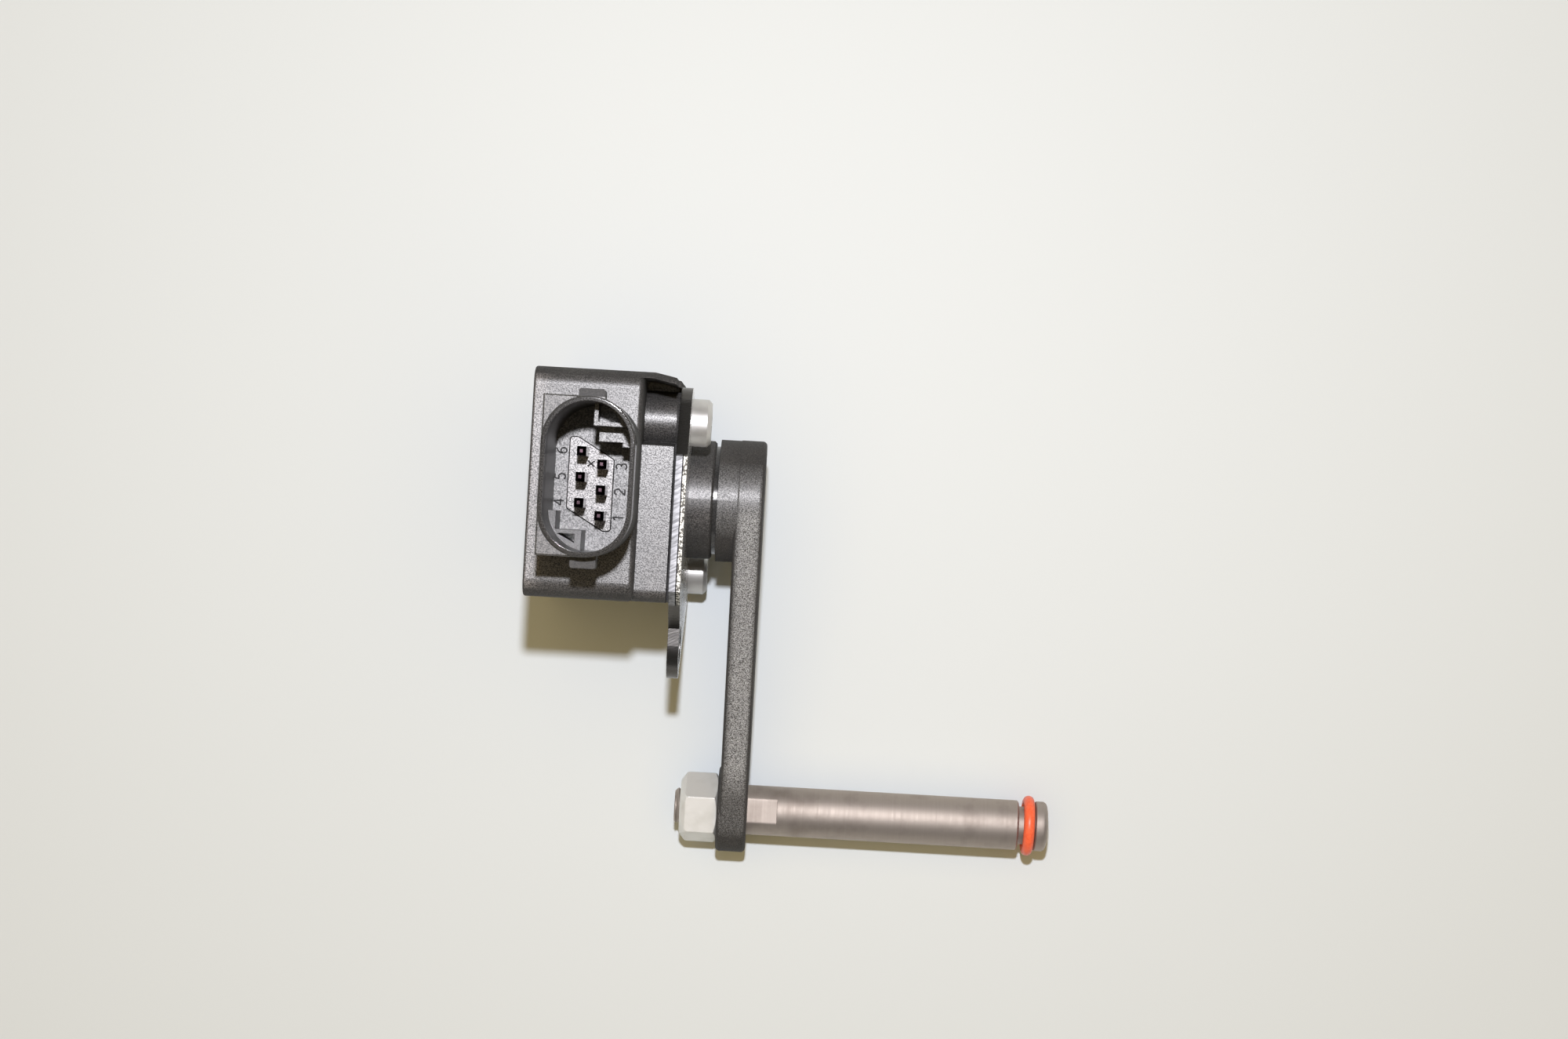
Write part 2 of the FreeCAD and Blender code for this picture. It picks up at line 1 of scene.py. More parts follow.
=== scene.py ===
import bpy
import math
import numpy as np
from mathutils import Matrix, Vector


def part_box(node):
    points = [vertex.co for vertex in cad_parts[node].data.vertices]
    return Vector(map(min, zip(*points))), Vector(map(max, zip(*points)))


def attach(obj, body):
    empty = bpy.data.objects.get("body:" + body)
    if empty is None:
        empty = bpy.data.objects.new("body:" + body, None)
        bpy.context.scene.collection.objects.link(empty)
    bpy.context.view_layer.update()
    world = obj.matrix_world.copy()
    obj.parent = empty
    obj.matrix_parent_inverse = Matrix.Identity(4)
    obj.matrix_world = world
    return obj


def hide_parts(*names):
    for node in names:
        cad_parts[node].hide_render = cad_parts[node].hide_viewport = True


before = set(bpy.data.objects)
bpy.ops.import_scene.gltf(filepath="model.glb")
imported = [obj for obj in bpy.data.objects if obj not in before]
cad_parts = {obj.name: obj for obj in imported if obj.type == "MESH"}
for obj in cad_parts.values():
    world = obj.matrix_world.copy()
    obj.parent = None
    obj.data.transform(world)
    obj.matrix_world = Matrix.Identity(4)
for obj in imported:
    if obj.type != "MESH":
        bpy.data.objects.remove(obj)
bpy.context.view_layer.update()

# Housing: one glass filled moulding with the block, the flange, the bearing dome and the plug socket.
# The tool surface was spark eroded, so every face carries a fine pitted grain that glitters under a lamp,
# and the edges are broken by a small radius.


def feed(tree, plug, given):
    """Links a socket to the plug, or sets the plug to a plain value."""
    if isinstance(given, bpy.types.NodeSocket):
        tree.links.new(given, plug)
    else:
        plug.default_value = given


def worked(tree, operation, *terms):
    """Result of a math node. Each term is a number or a socket."""
    node = tree.nodes.new("ShaderNodeMath")
    node.operation = operation
    for plug, term in zip(node.inputs, terms):
        feed(tree, plug, term)
    return node.outputs[0]


def ranged(tree, value, start, stop, least=0.0):
    """Factor that goes from least to 1 where the value passes from start to stop."""
    node = tree.nodes.new("ShaderNodeMapRange")
    for plug, given in (("Value", value), ("From Min", start), ("From Max", stop), ("To Min", least)):
        feed(tree, node.inputs[plug], given)
    return node.outputs["Result"]


def mixed(tree, factor, first, second, blend="MIX"):
    """Colour between two others, each a colour or a socket."""
    node = tree.nodes.new("ShaderNodeMix")
    node.data_type = "RGBA"
    node.blend_type = blend
    for plug, given in (("Factor", factor), ("A", first), ("B", second)):
        feed(tree, node.inputs[plug], given)
    return node.outputs["Result"]


def noise(tree, place, waves, detail=2.0, roughness=0.5):
    """Noise at a place, with a number of waves in one unit of it."""
    node = tree.nodes.new("ShaderNodeTexNoise")
    for plug, given in (("Vector", place), ("Scale", waves), ("Detail", detail), ("Roughness", roughness)):
        feed(tree, node.inputs[plug], given)
    return node.outputs["Fac"]


def softened(tree, radius):
    """Normal of a surface whose edges are rounded to a radius."""
    node = tree.nodes.new("ShaderNodeBevel")
    node.samples = 4
    feed(tree, node.inputs["Radius"], radius)
    return node.outputs["Normal"]


def bumped(tree, height, depth, normal):
    """Normal tilted by a height, where a height of 1 is as many metres as the depth says."""
    node = tree.nodes.new("ShaderNodeBump")
    for plug, given in (("Strength", 1.0), ("Distance", depth), ("Height", height), ("Normal", normal)):
        feed(tree, node.inputs[plug], given)
    return node.outputs["Normal"]


def new_group(name, inputs, outputs):
    """Node group with sockets of the given names and kinds. Returns it with its inputs, its outputs and the
    coordinates of the place."""
    group = bpy.data.node_groups.new(name, "ShaderNodeTree")
    for way, sockets in (("INPUT", inputs), ("OUTPUT", outputs)):
        for socket, kind in sockets:
            group.interface.new_socket(socket, in_out=way, socket_type="NodeSocket" + kind)
    given = group.nodes.new("NodeGroupInput").outputs
    out = group.nodes.new("NodeGroupOutput").inputs
    place = group.nodes.new("ShaderNodeTexCoord").outputs
    return group, given, out, place


pit_softness = 0.65
cell_share = 0.35
drift_share = 0.35
drift_waves = 90.0
wear_range = (0.58, 0.86)
upward_range = (0.78, 0.96)
dust_and_sheen_range = (0.36, 0.68)
glint_range = (0.42, 0.58)
glint_least = 0.1
pit_matting = 0.14


def moulded_grain_group():
    """Grain of an eroded mould: fine pits plus soft cells as a height. The tone goes towards the worn tone
    where the pits stand high, so fine flecks of fibre show, and it drifts slowly over the surface. On the
    faces that look up, where the normal's Z is near 1, the colour goes towards a pale tone in the grain,
    partly dust and partly a painted sheen for the lamp's light on those faces, and the flecks are glazed
    by handling. Side matting is added to the roughness of all other faces."""
    group, given, out, place = new_group(
        "moulded_grain",
        (("Tone", "Color"), ("Worn tone", "Color"), ("Dust and sheen", "Float"), ("Dust and sheen tone", "Color"),
         ("Pits per metre", "Float"), ("Pit depth", "Float"), ("Edge radius", "Float"), ("Gloss", "Float"),
         ("Side matting", "Float"), ("Glaze", "Float")),
        (("Colour", "Color"), ("Glazing", "Float"), ("Roughness", "Float"), ("Normal", "Vector")))
    pits = noise(group, place["Object"], given["Pits per metre"], roughness=pit_softness)
    cells = group.nodes.new("ShaderNodeTexVoronoi")
    group.links.new(place["Object"], cells.inputs["Vector"])
    group.links.new(given["Pits per metre"], cells.inputs["Scale"])
    height = worked(group, "MULTIPLY_ADD", cells.outputs["Distance"], cell_share, pits)
    soft = softened(group, given["Edge radius"])
    group.links.new(bumped(group, height, given["Pit depth"], soft), out["Normal"])
    drift = noise(group, place["Object"], drift_waves, detail=4.0)
    wear = ranged(group, worked(group, "MULTIPLY_ADD", drift, drift_share, pits), *wear_range)
    tone = mixed(group, wear, given["Tone"], given["Worn tone"])
    facing = group.nodes.new("ShaderNodeSeparateXYZ")
    group.links.new(place["Normal"], facing.inputs["Vector"])
    upward = ranged(group, facing.outputs["Z"], *upward_range)
    # painted sheen: faces that look up are made paler, partly as dust and partly as the lamp's light on them
    pale_specks = worked(group, "MULTIPLY", upward, ranged(group, pits, *dust_and_sheen_range))
    dust_and_sheen = worked(group, "MULTIPLY", pale_specks, given["Dust and sheen"])
    group.links.new(mixed(group, dust_and_sheen, tone, given["Dust and sheen tone"]), out["Colour"])
    rough = worked(group, "MULTIPLY_ADD", pits, pit_matting, given["Gloss"])
    sideways = worked(group, "SUBTRACT", 1.0, upward)
    matted = worked(group, "MULTIPLY_ADD", sideways, given["Side matting"], rough)
    group.links.new(matted, out["Roughness"])
    handled = worked(group, "MULTIPLY", upward, ranged(group, pits, *glint_range, glint_least))
    group.links.new(worked(group, "MULTIPLY", handled, given["Glaze"]), out["Glazing"])
    return group


def grain_of(mat):
    """The node group that a material takes its grain from."""
    return next(node for node in mat.node_tree.nodes if node.type == "GROUP")


def grained(name, group, values):
    """Material whose colour, roughness and normal come from a node group with its own values."""
    mat = bpy.data.materials.new(name)
    mat.use_nodes = True
    shader = mat.node_tree.nodes["Principled BSDF"]
    grain = mat.node_tree.nodes.new("ShaderNodeGroup")
    grain.node_tree = group
    for plug, value in values.items():
        grain.inputs[plug].default_value = value
    for plug, socket in (("Colour", "Base Color"), ("Roughness", "Roughness"), ("Normal", "Normal")):
        mat.node_tree.links.new(grain.outputs[plug], shader.inputs[socket])
    return mat


def moulded_plastic(name, tone, worn, pits, depth, edge, gloss, shine=0.5, extra=()):
    """Plastic with the mould grain: its tone and worn tone, pits in one metre, pit depth, edge radius, gloss
    and shine, and other inputs of the grain by name."""
    values = {"Tone": (*tone, 1.0), "Worn tone": (*worn, 1.0), "Pits per metre": pits, "Pit depth": depth,
              "Edge radius": edge, "Gloss": gloss, **dict(extra)}
    mat = grained(name, bpy.data.node_groups.get("moulded_grain") or moulded_grain_group(), values)
    shader = mat.node_tree.nodes["Principled BSDF"]
    shader.inputs["Specular IOR Level"].default_value = shine
    if "Glaze" in values:
        mat.node_tree.links.new(grain_of(mat).outputs["Glazing"], shader.inputs["Coat Weight"])
        shader.inputs["Coat Roughness"].default_value = 0.35
        shader.inputs["Coat IOR"].default_value = 1.72
    return mat


def dress(node, mat):
    """Gives a solid of the frame its finish."""
    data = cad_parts[node].data
    data.materials.clear()
    data.materials.append(mat)


def reach(mat, axis, start, stop):
    """Factor that goes from 0 to 1 where the object coordinate on the axis passes from start to stop."""
    tree = mat.node_tree
    place = tree.nodes.new("ShaderNodeTexCoord")
    split = tree.nodes.new("ShaderNodeSeparateXYZ")
    tree.links.new(place.outputs["Object"], split.inputs["Vector"])
    return ranged(tree, split.outputs[axis], start, stop)


def within_stadium(mat, middle, half, radius):
    """Factor 1 where the point lies in an upright stadium: its distance in X and Y from a line along Y, half
    long each way from the middle, is below the radius. The line is taken off by folding Y, as
    max(|y| - half, 0)."""
    tree = mat.node_tree
    place = tree.nodes.new("ShaderNodeTexCoord").outputs["Object"]
    for operation, value in (("SUBTRACT", (*middle, 0.0)), ("ABSOLUTE", None), ("SUBTRACT", (0.0, half, 0.0)),
                             ("MAXIMUM", (0.0, 0.0, 0.0)), ("MULTIPLY", (1.0, 1.0, 0.0))):
        step = tree.nodes.new("ShaderNodeVectorMath")
        step.operation = operation
        tree.links.new(place, step.inputs[0])
        if value:
            step.inputs[1].default_value = value
        place = step.outputs["Vector"]
    distance = tree.nodes.new("ShaderNodeVectorMath")
    distance.operation = "LENGTH"
    tree.links.new(place, distance.inputs[0])
    return worked(tree, "LESS_THAN", distance.outputs["Value"], radius)


def shared(first, second):
    """Factor of what two zones have in common: their product."""
    return worked(first.id_data, "MULTIPLY", first, second)


def united(first, second):
    """Factor of what lies in either of two zones: the larger one."""
    return worked(first.id_data, "MAXIMUM", first, second)


def layer(mat, axis, rise, fall):
    """Factor 1 between two borders on an axis: it rises over the first border and falls over the second."""
    return shared(reach(mat, axis, *rise), reach(mat, axis, *fall))


def finish_in_zone(mat, zone, values):
    """Gives inputs of the grain other values where the zone's factor is 1."""
    nodes, links = mat.node_tree.nodes, mat.node_tree.links
    grain = grain_of(mat)
    for plug, value in values.items():
        mix = nodes.new("ShaderNodeMix")
        links.new(zone, mix.inputs["Factor"])
        mix.inputs["A"].default_value = grain.inputs[plug].default_value
        if grain.inputs[plug].is_linked:
            links.new(grain.inputs[plug].links[0].from_socket, mix.inputs["A"])
        mix.inputs["B"].default_value = value
        links.new(mix.outputs["Result"], grain.inputs[plug])


socket_middle = (-0.0137, 0.0021)
socket_half = 0.0048
socket_bore = 0.0061
socket_skin = 0.0003
socket_floor_z = 0.02222
island_top_z = 0.02257
key_top_z = 0.0308
inner_edge_width = 0.0005
lug_root = 0.01162
lug_foot_z = 0.0351
rim_top_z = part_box("housing")[1][2]

# Borders of the zones with their own finish, each from where it has no effect to where it has all of it.
upper_part_y = (0.0095, 0.016)
dome_x = (-0.0018, -0.0014)
below_dome_top_y = (0.0185, 0.0175)
shroud_z = (0.0375, 0.0385)
rim_z = (rim_top_z - 0.0003, rim_top_z - 0.0002)
above_floor_z = (socket_floor_z + 0.0002, socket_floor_z + 0.0003)
key_top_layer = ((key_top_z - 0.0001, key_top_z - 0.00005), (key_top_z + 0.0001, key_top_z + 0.00005))
# left side of the block, made paler by more dust and painted sheen, as if lit more
painted_sheen_side_x = (-0.0205, -0.0225)
flange_edge_layer = ((-0.0022, -0.00212), (-0.0016, -0.00165))
island_layer = ((island_top_z - 0.0001, island_top_z - 0.00006),
                (island_top_z + 0.0003, island_top_z + 0.0002))
upper_lug_y = (socket_middle[1] + lug_root, socket_middle[1] + lug_root + 0.00004)
lower_lug_y = (socket_middle[1] - lug_root, socket_middle[1] - lug_root - 0.00004)
lug_z = (lug_foot_z, lug_foot_z + 0.0001)

housing_plastic = moulded_plastic("housing_plastic", (0.014, 0.0135, 0.0135), (0.06, 0.059, 0.058),
                                  pits=4800.0, depth=0.00003, edge=0.00015, gloss=0.32, shine=0.65,
                                  extra={"Dust and sheen": 0.1, "Dust and sheen tone": (0.46, 0.44, 0.44, 1.0),
                                         "Side matting": 0.3, "Glaze": 1.0})
dome = shared(reach(housing_plastic, "Y", *below_dome_top_y), reach(housing_plastic, "X", *dome_x))
shroud = reach(housing_plastic, "Z", *shroud_z)
rim = reach(housing_plastic, "Z", *rim_z)
in_socket = within_stadium(housing_plastic, socket_middle, socket_half, socket_bore + socket_skin)
inner_edge = within_stadium(housing_plastic, socket_middle, socket_half, socket_bore + inner_edge_width)
beside_socket = united(reach(housing_plastic, "Y", *upper_lug_y), reach(housing_plastic, "Y", *lower_lug_y))
# In these zones the dust and painted sheen is raised on the island and the left side, which look more lit,
# and lowered on the key tops, which stay darker as painted shade; the rim, the flange edge and the lugs get
# none.
for zone, finish in (
        (reach(housing_plastic, "Y", *upper_part_y), {"Glaze": 0.55}),
        (united(dome, shroud), {"Pit depth": 0.000012, "Dust and sheen": 0.15, "Gloss": 0.37, "Glaze": 0.48}),
        (shroud, {"Side matting": -0.22}),
        (rim, {"Dust and sheen": 0.0, "Gloss": 0.62, "Glaze": 0.1}),
        (shared(inner_edge, rim), {"Pit depth": 0.000002, "Gloss": 0.08, "Glaze": 0.0}),
        (shared(in_socket, reach(housing_plastic, "Z", *above_floor_z)), {"Side matting": -0.02}),
        (shared(in_socket, layer(housing_plastic, "Z", *key_top_layer)), {"Glaze": 0.1, "Dust and sheen": 0.05}),
        (reach(housing_plastic, "X", *painted_sheen_side_x), {"Dust and sheen": 0.55}),
        (layer(housing_plastic, "X", *flange_edge_layer),
         {"Pit depth": 0.000002, "Dust and sheen": 0.0, "Gloss": 0.75, "Glaze": 0.0}),
        (layer(housing_plastic, "Z", *island_layer), {"Pit depth": 0.000006, "Dust and sheen": 1.0, "Gloss": 0.26}),
        (shared(beside_socket, reach(housing_plastic, "Z", *lug_z)),
         {"Pit depth": 0.000004, "Dust and sheen": 0.0, "Gloss": 0.55, "Glaze": 0.0})):
    finish_in_zone(housing_plastic, zone, finish)
dress("housing", housing_plastic)

# Rear cover: flat moulded lid welded into the open side of the housing.
# It is smoother than the housing, because its tool was only blasted.

cover_plastic = moulded_plastic("cover_plastic", (0.018, 0.0175, 0.0175), (0.05, 0.049, 0.049),
                                pits=5200.0, depth=0.000012, edge=0.0002, gloss=0.36)
dress("rear_cover", cover_plastic)

# Contacts: six square pins stamped from bronze strip, plated dark, pressed through the socket floor
# and bent into the circuit board. The pyramid tips catch the light.


stain_waves = 240.0
stain_range = (0.48, 0.74)


def plated_grain_group():
    """Metal skin: noise on stretched coordinates gives draw or turning lines, a slow noise gives stains."""
    group, given, out, place = new_group(
        "plated_grain",
        (("Tone", "Color"), ("Stain tone", "Color"), ("Stretch", "Vector"), ("Line depth", "Float"),
         ("Edge radius", "Float"), ("Gloss", "Float"), ("Gloss spread", "Float")),
        (("Colour", "Color"), ("Roughness", "Float"), ("Normal", "Vector")))
    pull = group.nodes.new("ShaderNodeVectorMath")
    pull.operation = "MULTIPLY"
    group.links.new(place["Object"], pull.inputs[0])
    group.links.new(given["Stretch"], pull.inputs[1])
    lines = noise(group, pull.outputs["Vector"], 1.0, detail=3.0)
    soft = softened(group, given["Edge radius"])
    group.links.new(bumped(group, lines, given["Line depth"], soft), out["Normal"])
    stain = ranged(group, noise(group, place["Object"], stain_waves, detail=5.0), *stain_range)
    group.links.new(mixed(group, stain, given["Tone"], given["Stain tone"]), out["Colour"])
    rough = worked(group, "MULTIPLY_ADD", lines, given["Gloss spread"], given["Gloss"])
    group.links.new(rough, out["Roughness"])
    return group


def plated_metal(name, tone, stain, stretch, depth, edge, gloss, spread, metal=1.0):
    """Metal with draw lines: tones, line stretch along each axis, line depth, edge radius and gloss range."""
    values = {"Tone": (*tone, 1.0), "Stain tone": (*stain, 1.0), "Stretch": stretch, "Line depth": depth,
              "Edge radius": edge, "Gloss": gloss, "Gloss spread": spread}
    mat = grained(name, bpy.data.node_groups.get("plated_grain") or plated_grain_group(), values)
    mat.node_tree.nodes["Principled BSDF"].inputs["Metallic"].default_value = metal
    return mat


contact_metal = plated_metal("contact_metal", (0.085, 0.055, 0.066), (0.06, 0.036, 0.045),
                             stretch=(900.0, 900.0, 120.0), depth=0.000004, edge=0.00012,
                             gloss=0.16, spread=0.1)
for number in range(1, 7):
    dress("contact_pin_%d" % number, contact_metal)

# Contact numbers: the figures 1 to 6 beside the contacts and a small cross, raised a little from the socket
# floor because they were cut into the mould. They lie on their side, with their tops towards the left wall.

figure_height = 0.00158
figure_width = 0.00132
figure_line = 0.0003
figure_rise = 0.0001
cross_size = 0.64
crease_angle = math.radians(35.0)


def bow(cx, cy, rx, ry, start, stop, count=18):
    """Points of an elliptic arc round (cx, cy) from start to stop degrees."""
    turn = np.radians(np.linspace(start, stop, count))
    return np.column_stack([cx + rx * np.cos(turn), cy + ry * np.sin(turn)])


def straight(*points):
    """Points of a broken line."""
    return np.array(points, float)


def figure_strokes(sign):
    """Lines of one figure in a box one unit high, and two crossed lines for the cross."""
    shapes = {
        "1": [straight((0.2, 0.75), (0.5, 1.0)), straight((0.5, 1.0), (0.5, 0.0))],
        "2": [np.vstack([bow(0.48, 0.7, 0.3, 0.3, 165, -35), straight((0.16, 0.0))]),
              straight((0.16, 0.0), (0.82, 0.0))],
        "3": [bow(0.45, 0.75, 0.28, 0.25, 150, -90), bow(0.45, 0.26, 0.34, 0.26, 90, -150)],
        "4": [straight((0.62, 0.0), (0.62, 1.0)), straight((0.62, 1.0), (0.1, 0.32)),
              straight((0.1, 0.32), (0.86, 0.32))],
        "5": [straight((0.78, 1.0), (0.26, 1.0)), straight((0.26, 1.0), (0.2, 0.55)),
              bow(0.46, 0.32, 0.32, 0.32, 125, -150)],
        "6": [np.vstack([straight((0.72, 0.98)), bow(0.6, 0.4, 0.42, 0.5, 120, 185),
                         bow(0.48, 0.28, 0.3, 0.28, 180, -180)])],
        "cross": [straight((0.0, 0.0), (1.0, 1.0)), straight((0.0, 1.0), (1.0, 0.0))],
    }
    return shapes[sign]


def raised_line(path, z, width, rise):
    """A flat topped ridge carried along a path: its feet are half a width out and one rise below z, and the
    edges of its top are a fifth of a width out and one rise above z."""
    ahead = np.gradient(path, axis=0)
    ahead /= np.linalg.norm(ahead, axis=1)[:, None]
    side = np.column_stack([-ahead[:, 1], ahead[:, 0]])
    across = np.array([-0.5, -0.2, 0.2, 0.5]) * width
    up = np.array([-rise, rise, rise, -rise]) + z
    flat = path[:, None, :] + side[:, None, :] * across[None, :, None]
    rise_of = np.broadcast_to(up, (len(path), 4))
    verts = np.dstack([flat, rise_of]).reshape(-1, 3)
    start = np.arange(len(path) - 1)[:, None] * 4
    col = np.arange(4)[None, :]
    nxt = (col + 1) % 4
    quads = np.stack([start + col, start + nxt, start + 4 + nxt, start + 4 + col], -1).reshape(-1, 4)
    last = (len(path) - 1) * 4
    ends = np.array([[3, 2, 1, 0], [last, last + 1, last + 2, last + 3]])
    return verts, np.vstack([quads, ends])


def quads_volume(verts, quads):
    """Six times the volume between the faces and the origin: the sum of a . (b x c + c x d)."""
    a, b, c, d = (verts[quads[:, k]] for k in range(4))
    return np.einsum("ij,ij->i", a, np.cross(b, c) + np.cross(c, d)).sum()


def outward(verts, quads):
    """Turns the faces round if the volume they enclose comes out negative."""
    return quads if quads_volume(verts, quads) > 0 else quads[:, ::-1]


def in_scene(name, data):
    """Object at the origin for a mesh, a lamp or a camera."""
    obj = bpy.data.objects.new(name, data)
    bpy.context.scene.collection.objects.link(obj)
    return obj


def piece(name, mesh, mat, body):
    """Object for a mesh with smooth faces, sharp past the crease angle, riding on its body."""
    mesh.polygons.foreach_set("use_smooth", np.ones(len(mesh.polygons), bool))
    mesh.set_sharp_from_angle(angle=crease_angle)
    mesh.materials.append(mat)
    obj = in_scene(name, mesh)
    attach(obj, body)
    return obj


def new_mesh(name, verts, faces):
    """Mesh of whole arrays of points and faces."""
    mesh = bpy.data.meshes.new(name)
    mesh.from_pydata(verts.tolist(), [], faces)
    return mesh


# the figures are darker than the socket floor: painted shade for the shaded edges of the raised lines
figure_shade_plastic = moulded_plastic("figure_shade_plastic", (0.009, 0.0085, 0.0085), (0.02, 0.0195, 0.0195),
                                 pits=5200.0, depth=0.000006, edge=0.00002, gloss=0.4, shine=0.3)
figure_places = {"6": (-0.01895, 0.0061), "5": (-0.01895, 0.0022), "4": (-0.01895, -0.00165),
                 "3": (-0.00985, 0.00415), "2": (-0.0099, 0.0003), "1": (-0.00995, -0.00355),
                 "cross": (-0.0144, 0.0043)}
figure_verts, figure_quads, figure_count = [], [], 0
for sign, middle in figure_places.items():
    size = cross_size if sign == "cross" else 1.0
    level = island_top_z if sign == "cross" else socket_floor_z
    for stroke in figure_strokes(sign):
        upright = (stroke - 0.5) * size * np.array([figure_width, figure_height])
        line = np.column_stack([-upright[:, 1], upright[:, 0]]) + np.array(middle)
        verts, quads = raised_line(line, level, figure_line, figure_rise)
        figure_verts.append(verts)
        figure_quads.append(outward(verts, quads) + figure_count)
        figure_count += len(verts)
figure_mesh = new_mesh("contact_numbers", np.vstack(figure_verts), np.vstack(figure_quads).tolist())
piece("contact_numbers", figure_mesh, figure_shade_plastic, "sensor_body")

# Circuit board: glass laminate under green lacquer, with a sensor chip in black resin
# and four brown block capacitors soldered on. All of it is closed in by the cover.

dress("circuit_board", moulded_plastic("board_lacquer", (0.012, 0.09, 0.035), (0.03, 0.14, 0.05),
                                       pits=1800.0, depth=0.00002, edge=0.0001, gloss=0.2))
dress("sensor_chip", moulded_plastic("chip_resin", (0.012, 0.012, 0.013), (0.02, 0.02, 0.02),
                                     pits=6000.0, depth=0.00001, edge=0.0001, gloss=0.4))
dress("board_capacitors", moulded_plastic("capacitor_ceramic", (0.3, 0.2, 0.11), (0.38, 0.28, 0.17),
                                          pits=4000.0, depth=0.00001, edge=0.0001, gloss=0.35))

# Bearing: brass inserts for the screws, a sintered bronze bush, a rubber seal with two lips,
# and the thin glossy slide ring that shows between the dome and the lever.

dress("threaded_inserts", plated_metal("insert_brass", (0.65, 0.46, 0.19), (0.5, 0.34, 0.14),
                                       stretch=(2500.0, 200.0, 200.0), depth=0.00001, edge=0.0001,
                                       gloss=0.25, spread=0.2))
dress("bearing_bush", plated_metal("bush_bronze", (0.5, 0.3, 0.13), (0.36, 0.22, 0.1),
                                   stretch=(1500.0, 1500.0, 1500.0), depth=0.00001, edge=0.0001,
                                   gloss=0.35, spread=0.2))
dress("shaft_seal", moulded_plastic("seal_rubber", (0.012, 0.012, 0.012), (0.02, 0.02, 0.02),
                                    pits=3500.0, depth=0.00001, edge=0.0001, gloss=0.5))
dress("thrust_ring", moulded_plastic("slide_ring_plastic", (0.025, 0.025, 0.026), (0.05, 0.05, 0.05),
                                     pits=3000.0, depth=0.000004, edge=0.0001, gloss=0.14))

# Bracket plate: stamped from bright plated strip steel. Its faces are smooth and shiny; the sheared edges
# show fine strokes across the thickness and a broken band along the outer side.

plate_thickness = 0.00175
edge_facing = (0.3, 0.05)
stroke_slant = 0.5
stroke_size = (0.0024, 0.0003, 0.0003)
stroke_depth = 0.00002
stroke_range = (0.35, 0.62)
stroke_least = 0.45
edge_bands = ((0.05, 0.31), (0.55, 0.42), (0.59, 0.015), (0.67, 0.015), (0.7, 0.2))
edge_blue = 1.03
edge_inner_tone = (0.1, 0.1, 0.1, 1.0)
edge_outer_tone = (0.36, 0.36, 0.37, 1.0)
burr_x = (-0.0006, -0.00055)
burr_beads_per_metre = 3000.0
burr_range = (0.44, 0.56)
burr_hollow_tone = (0.09, 0.085, 0.075, 1.0)
burr_bead_tone = (0.6, 0.58, 0.52, 1.0)
bright_stretch_layer = ((-0.0165, -0.0161), (0.0066, 0.0062))
# painted shade on the edges of the upper lobe and of the ear
shaded_edge_tone = (0.115, 0.11, 0.105, 1.0)
edge_dulling = 0.26


def sheared_edges(mat):
    """Cut edges only, where the normal has no X part. Across the thickness the tone follows a ramp in X:
    smooth sheared band, dark torn line, beads of bright burr, and slanting strokes break it up. The edge of
    the upper lobe, past the end of the straight stretch in Y, and that of the ear below it are burnished
    and get a dark tone, which is painted shade."""
    tree = mat.node_tree
    skin = grain_of(mat).outputs
    shader = tree.nodes["Principled BSDF"].inputs
    place = tree.nodes.new("ShaderNodeTexCoord").outputs
    facing = tree.nodes.new("ShaderNodeSeparateXYZ")
    tree.links.new(place["Normal"], facing.inputs["Vector"])
    edge = ranged(tree, worked(tree, "ABSOLUTE", facing.outputs["X"]), *edge_facing)
    pull = tree.nodes.new("ShaderNodeMapping")
    pull.vector_type = "TEXTURE"
    pull.inputs["Rotation"].default_value = (0.0, 0.0, stroke_slant)
    pull.inputs["Scale"].default_value = stroke_size
    tree.links.new(place["Object"], pull.inputs["Vector"])
    strokes = noise(tree, pull.outputs["Vector"], 1.0, detail=3.0)
    bands = tree.nodes.new("ShaderNodeValToRGB")
    for part, grey in edge_bands:
        stop = bands.color_ramp.elements.new(part)
        stop.color = (grey, grey, grey * edge_blue, 1.0)
    bands.color_ramp.elements[0].color = edge_inner_tone
    bands.color_ramp.elements[-1].color = edge_outer_tone
    tree.links.new(reach(mat, "X", -plate_thickness, 0.0), bands.inputs["Fac"])
    broken = ranged(tree, strokes, *stroke_range, stroke_least)
    cut_tone = mixed(tree, 1.0, bands.outputs["Color"], broken, "MULTIPLY")
    bead = ranged(tree, noise(tree, place["Object"], burr_beads_per_metre), *burr_range)
    burr_tone = mixed(tree, bead, burr_hollow_tone, burr_bead_tone)
    across = mixed(tree, reach(mat, "X", *burr_x), cut_tone, burr_tone)
    bright_stretch = layer(mat, "Y", *bright_stretch_layer)
    along = mixed(tree, bright_stretch, shaded_edge_tone, across)
    tree.links.new(mixed(tree, edge, skin["Colour"], along), shader["Base Color"])
    dull = worked(tree, "MULTIPLY_ADD", shared(edge, bright_stretch), edge_dulling, skin["Roughness"])
    tree.links.new(dull, shader["Roughness"])
    cuts = worked(tree, "MULTIPLY", strokes, edge)
    tree.links.new(bumped(tree, cuts, stroke_depth, skin["Normal"]), shader["Normal"])


plate_steel = plated_metal("plate_steel", (0.72, 0.715, 0.71), (0.64, 0.635, 0.63),
                           stretch=(400.0, 2600.0, 180.0), depth=0.0000012, edge=0.00012,
                           gloss=0.22, spread=0.12)
sheared_edges(plate_steel)
dress("bracket_plate", plate_steel)

# Bracket screws: low cylinder heads with a six lobed recess, cold formed and zinc plated to a satin grey.
# They run through the plate into the brass inserts of the housing.

